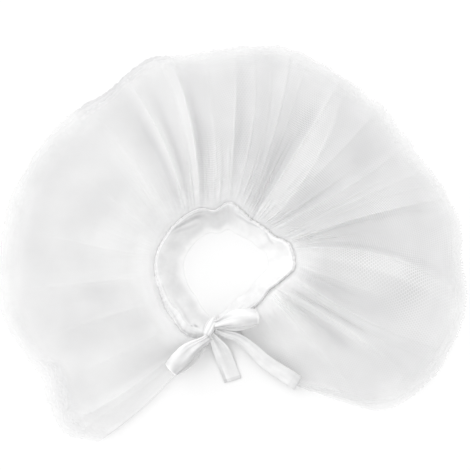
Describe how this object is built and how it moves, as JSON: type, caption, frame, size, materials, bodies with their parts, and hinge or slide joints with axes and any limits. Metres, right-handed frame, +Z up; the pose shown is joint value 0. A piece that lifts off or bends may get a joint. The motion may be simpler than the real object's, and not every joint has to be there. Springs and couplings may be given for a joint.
{
  "type": "dog tutu",
  "caption": "Dog tutu of gathered white tulle layers on a satin waistband closed by a ribbon bow, laid flat with its skirt spread round the open waist.",
  "frame": {"origin": "middle of the underside that rests on the surface", "axes": "+Z up from the surface, -Y towards the bow and the skirt's open wedge, +X to the right seen from above with the bow at the bottom"},
  "size_m": [0.4062, 0.3444, 0.0295],
  "materials": {
    "tulle": "sheer white net, raw cut edges",
    "satin": "white satin with a soft sheen"
  },
  "bodies": {
    "root": {"tulle_lower": "tulle", "tulle_middle": "tulle", "tulle_upper": "tulle", "waistband": "satin", "bow_knot": "satin", "bow_loop_left": "satin", "bow_loop_right": "satin", "bow_tail_centre": "satin", "bow_tail_right": "satin"}
  },
  "joints": []
}
